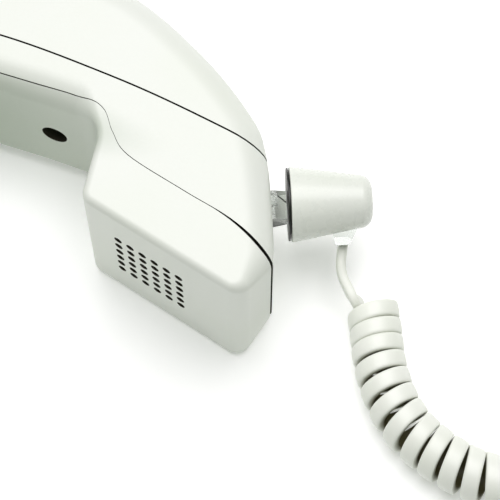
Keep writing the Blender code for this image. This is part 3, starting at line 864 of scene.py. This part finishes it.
def seam(points, shift, end_shift=0.0):
    """Return a seam line from the earpiece end to the mouthpiece end.

    end_shift widens the open line towards the two ends.
    """
    half = curve_through(points, SEAM_STEPS)
    line = [Vector((-spot.x, spot.y)) for spot in reversed(half[1:])] + half
    result = []
    for spot in line:
        blend = min(1.0, max(0.0, (abs(spot.x) - SEAM_END_START) / SEAM_END_REACH))
        result.append((spot.x, spot.y + shift + end_shift * blend))
    return result


def shell(body, low_line, high_line, finishes):
    """Keep the stretch of the hollow body between two seam lines."""
    outline = list(low_line) + list(reversed(high_line))
    reach = MIDDLE_Z + SIDE_MARGIN
    # The faces cut along the seams get the second finish, painted shade
    keep = in_two_finishes(prism(outline, -reach, reach), *finishes, True)
    return combined(body, keep, "INTERSECT")


def grille_frame(side):
    """Return a cup's face frame: +X points into the handset, from the outer face."""
    run = Vector(CHIN_CORNER) - Vector(CUP_CORNER)
    spot = Vector(CUP_CORNER) + run * (GRILLE_X - CUP_CORNER[0]) / run.x
    inward = Vector((-run.y, run.x)).normalized()
    angle = math.degrees(math.atan2(inward.y, inward.x))
    if side < 0:
        return frame_at(-spot.x, spot.y, 0, 180 - angle)
    return frame_at(spot.x, spot.y, 0, angle)


def sound_holes(settings):
    """Make the cutters of both cups' sound holes, each with a broken outer edge."""
    wall = settings.wall / MM
    pitch = settings.hole_pitch
    radius = settings.hole_diameter / MM / 2
    profile = [(-CUT_MARGIN, 0), (-CUT_MARGIN, radius + HOLE_BREAK), (HOLE_BREAK_DEPTH, radius),
               (wall + 2 * CUT_MARGIN, radius), (wall + 2 * CUT_MARGIN, 0)]
    middle = (settings.hole_rows - 1) / 2
    holes = []
    for side in (-1, 1):
        for row in range(settings.hole_rows):
            for column in range(settings.hole_rows):
                pin = turned(profile, HOLE_SIDES)
                offset = Matrix.Translation((0, (row - middle) * pitch, (column - middle) * pitch))
                pin.transform(frame_at(0, 0).inverted() @ grille_frame(side) @ offset)
                holes.append(pin)
    return joined(holes)


def posts(low, high, radius, sides=POST_SIDES):
    """Return upright cylinders on both screw axes."""
    made = []
    for side in (-1, 1):
        post = turned([(low, 0), (low, radius), (high, radius), (high, 0)], sides)
        post.transform(frame_at(0, 0).inverted() @ frame_at(side * SCREW_X, 0, 0, 90))
        made.append(post)
    return made


class HANDSET_OT_shells(bpy.types.Operator):
    """Make the front cover, the middle frame and the back cover"""

    bl_idname = "handset.shells"
    bl_label = "Handset shells"

    def execute(self, context):
        settings = context.scene.handset_settings
        half_width = settings.half_width / MM
        wall = settings.wall / MM
        gap = settings.seam_gap / MM / 2
        # The second finish is painted shade for the walls of seams, recesses and sound holes
        finishes = (moulded_abs(context.scene.finish_settings), painted_cut_shade())
        hollow = cut(body_solid(half_width, 0, OUTER_RIM_STEPS),
                     body_solid(half_width, wall, INNER_RIM_STEPS))
        in_two_finishes(hollow, *finishes)
        lower = gap * LOWER_SEAM_SHARE
        upper = gap * UPPER_SEAM_SHARE
        below = [(-SHELL_REACH, -SHELL_HEIGHT), (SHELL_REACH, -SHELL_HEIGHT)]
        above = [(-SHELL_REACH, SHELL_HEIGHT), (SHELL_REACH, SHELL_HEIGHT)]
        front = shell(hollow.copy(), below,
                      seam(SEAM_FRONT_POINTS, -lower, FRONT_END_SHIFT), finishes)
        middle = shell(hollow.copy(), seam(SEAM_FRONT_POINTS, lower, MIDDLE_END_SHIFT),
                       seam(SEAM_BACK_POINTS, -upper), finishes)
        back = shell(hollow, seam(SEAM_BACK_POINTS, upper), above, finishes)
        front = added(front, *posts(POST_LOW, POST_TOP, POST_RADIUS))
        # The recess walls get the painted shade
        recesses = [in_two_finishes(post, *finishes, True)
                    for post in posts(CUT_LOW, RECESS_TOP, RECESS_RADIUS)]
        front = cut(front, *recesses)
        front = cut(front, *posts(CUT_LOW, SCREW_HOLE_TOP, SCREW_HOLE_RADIUS,
                                  SCREW_HOLE_SIDES))
        # The sound holes' walls get the painted shade
        front = cut(front, in_two_finishes(sound_holes(settings), *finishes, True))
        mouth = block(*END_JACK_MOUTH)
        mouth.transform(frame_at(0, 0).inverted() @ jack_frame())
        middle = cut(middle, mouth)
        looks = finishes[0]
        for name, node, mesh in (("front_cover_shell", "front_cover", front),
                                 ("middle_frame_shell", "middle_frame", middle),
                                 ("back_cover_shell", "back_cover", back)):
            thing = put(name, mesh, looks, "handset", (node,), frame_at(0, 0),
                        SHARP_SHELL)
            even_normals(thing)
        return {"FINISHED"}


# ---------------------------------------------------------------- detangler

def housing_radius(settings, along):
    """Return the detangler's outer radius at a distance from its base."""
    start = settings.base_diameter / MM / 2
    end = settings.tip_diameter / MM / 2
    return start + (end - start) * along / SWIVEL_LENGTH


class HANDSET_OT_detangler(bpy.types.Operator):
    """Make the detangler's turning housing and the fixed disc in its base"""

    bl_idname = "handset.detangler"
    bl_label = "Swivel detangler"

    def execute(self, context):
        settings = context.scene.detangler_settings
        looks = polished_abs(context.scene.finish_settings)
        rounding = settings.tip_rounding / MM
        rounding_start = SWIVEL_LENGTH - rounding
        radius = housing_radius(settings, rounding_start)
        base = housing_radius(settings, 0)
        edge = HOUSING_EDGE
        profile = [(0, base - edge), (edge * 0.3, base - edge * 0.3), (edge, base)]
        for step in range(TIP_STEPS + 1):
            angle = math.pi / 2 * step / TIP_STEPS
            profile.append((rounding_start + rounding * math.sin(angle),
                            radius - rounding * (1 - math.cos(angle))))
        profile += [(SWIVEL_LENGTH + rise, (radius - rounding) * share)
                    for rise, share in TIP_CROWN]
        inner = SWIVEL_LENGTH - HOUSING_WALL
        profile += [(inner, 0), (inner, radius - rounding),
                    (inner - HOUSING_WALL, radius - HOUSING_WALL), (0, base - HOUSING_WALL)]
        opening = block(*SIDE_JACK_OPENING)
        opening.transform(swivel_frame().inverted() @ side_frame())
        housing = put("detangler_shell", cut(turned(profile, CONE_SIDES), opening), looks, "swivel",
                      ("detangler_housing",), swivel_frame(), SHARP_SHELL)
        even_normals(housing)
        lip = base - LIP_INSET
        disc_edge = base - HOUSING_WALL - SLIT
        front = -GAP - LIP_THICKNESS
        disc = [(front, 0), (front, lip - LIP_EDGE), (front + LIP_EDGE_START, lip - LIP_EDGE_START),
                (front + LIP_EDGE, lip),
                (-GAP, lip), (-GAP, disc_edge), (DISC_DEPTH, disc_edge),
                (DISC_DEPTH, HUB_RADIUS), (HUB_END, HUB_RADIUS), (HUB_END, 0)]
        # The disc's black face makes the dark line at the housing's base
        rotor = put("detangler_disc", turned(disc, CONE_SIDES), dark_base_disc_finish(), "detangler_core",
                    ("detangler_rotor",), swivel_frame(), SHARP_SHELL)
        even_normals(rotor)
        return {"FINISHED"}


# ---------------------------------------------------------------- carried-over parts

class HANDSET_OT_finishes(bpy.types.Operator):
    """Give every carried-over part the finish of its own material"""

    bl_idname = "handset.finishes"
    bl_label = "Finishes"

    def execute(self, context):
        clear = clear_polycarbonate()
        gold = gold_plate()
        zinc = zinc_plate()
        felt = needled_felt()
        nylon = filled_nylon()
        lead = lead_insulation()
        by_word = (("contact", gold), ("slip_ring", gold), ("plug", clear), ("screw", zinc),
                   ("felt", felt), ("boot", moulded_rubber()), ("gasket", open_foam()),
                   ("weight", zinc), ("magnet", zinc), ("microphone_capsule", zinc),
                   ("receiver_capsule", nylon), ("jack", nylon), ("leads", lead))
        for name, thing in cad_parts.items():
            if thing.hide_render:
                continue
            looks = next((made for word, made in by_word if word in name), None)
            if looks is None:
                raise RuntimeError(f"{name} has no finish")
            for place in thing.material_slots:
                place.material = looks
        return {"FINISHED"}


# ---------------------------------------------------------------- stage

def soft_light(name, spot, aim, size, power, colour):
    """Add one softbox that points at a spot."""
    data = bpy.data.lights.new(name, "AREA")
    data.shape = "DISK"
    data.size = size
    data.energy = power
    data.color = colour
    thing = bpy.data.objects.new(name, data)
    thing.location = spot
    thing.rotation_euler = (Vector(aim) - Vector(spot)).to_track_quat("-Z", "Y").to_euler()
    bpy.context.scene.collection.objects.link(thing)


class HANDSET_OT_stage(bpy.types.Operator):
    """Make the pale table, the soft light and the camera"""

    bl_idname = "handset.stage"
    bl_label = "Stage"

    def execute(self, context):
        turn = math.radians(CAMERA_TURN)
        pitch = math.radians(CAMERA_PITCH)
        aim = table_spot(CAMERA_AIM) * MM
        ahead = Vector((-math.sin(turn) * math.cos(pitch), math.cos(turn) * math.cos(pitch),
                        -math.sin(pitch)))
        data = bpy.data.cameras.new("camera")
        data.lens = CAMERA_LENS
        data.sensor_width = SENSOR_WIDTH
        data.clip_start = NEAREST_SEEN
        camera = bpy.data.objects.new("camera", data)
        camera.location = aim - ahead * CAMERA_DISTANCE
        camera.rotation_euler = ahead.to_track_quat("-Z", "Y").to_euler()
        context.scene.collection.objects.link(camera)
        context.scene.camera = camera

        half = FLOOR_HALF
        floor_mesh = bpy.data.meshes.new("floor")
        floor_mesh.from_pydata([(-half, -half, 0), (half, -half, 0), (half, half, 0),
                                (-half, half, 0)], [], [(0, 1, 2, 3)])
        floor_mesh.materials.append(matt_table(context.scene.finish_settings))
        floor = bpy.data.objects.new("floor", floor_mesh)
        floor.location = (0, 0, -FLOOR_DROP)
        context.scene.collection.objects.link(floor)

        world = bpy.data.worlds.new("soft_room")
        world.use_nodes = True
        backing = world.node_tree.nodes["Background"]
        backing.inputs["Color"].default_value = linear(ROOM_COLOUR)
        backing.inputs["Strength"].default_value = ROOM_STRENGTH
        context.scene.world = world
        context.scene.view_settings.view_transform = "Standard"
        soft_light("key_softbox", KEY_SPOT, aim, KEY_SIZE, KEY_POWER, KEY_COLOUR)
        return {"FINISHED"}


# ---------------------------------------------------------------- add-on

class HANDSET_PT_panel(bpy.types.Panel):
    """Lists the handset's operators and sizes"""

    bl_label = "Corded handset"
    bl_idname = "HANDSET_PT_panel"
    bl_space_type = "VIEW_3D"
    bl_region_type = "UI"
    bl_category = "Handset"

    def draw(self, context):
        layout = self.layout
        for settings in (context.scene.handset_settings, context.scene.detangler_settings,
                         context.scene.cord_settings, context.scene.finish_settings):
            box = layout.box()
            for name in settings.bl_rna.properties.keys():
                if name not in ("rna_type", "name"):
                    box.prop(settings, name)
        for operator in OPERATORS:
            layout.operator(operator.bl_idname)


OPERATORS = (HANDSET_OT_stage, HANDSET_OT_cord, HANDSET_OT_shells, HANDSET_OT_detangler,
             HANDSET_OT_finishes)
SETTINGS = (("handset_settings", HandsetSettings), ("detangler_settings", DetanglerSettings),
            ("cord_settings", CordSettings), ("finish_settings", FinishSettings))


def register():
    """Register the classes and hang the settings on the scene."""
    for name, group in SETTINGS:
        bpy.utils.register_class(group)
        setattr(bpy.types.Scene, name, bpy.props.PointerProperty(type=group))
    for operator in OPERATORS:
        bpy.utils.register_class(operator)
    bpy.utils.register_class(HANDSET_PT_panel)


def unregister():
    """Take the classes and the settings away again."""
    bpy.utils.unregister_class(HANDSET_PT_panel)
    for operator in reversed(OPERATORS):
        bpy.utils.unregister_class(operator)
    for name, group in reversed(SETTINGS):
        delattr(bpy.types.Scene, name)
        bpy.utils.unregister_class(group)


def main():
    """Register the add-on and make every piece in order."""
    register()
    bpy.ops.handset.stage()
    bpy.ops.handset.cord()
    bpy.ops.handset.shells()
    bpy.ops.handset.detangler()
    bpy.ops.handset.finishes()


if __name__ == "__main__":
    main()
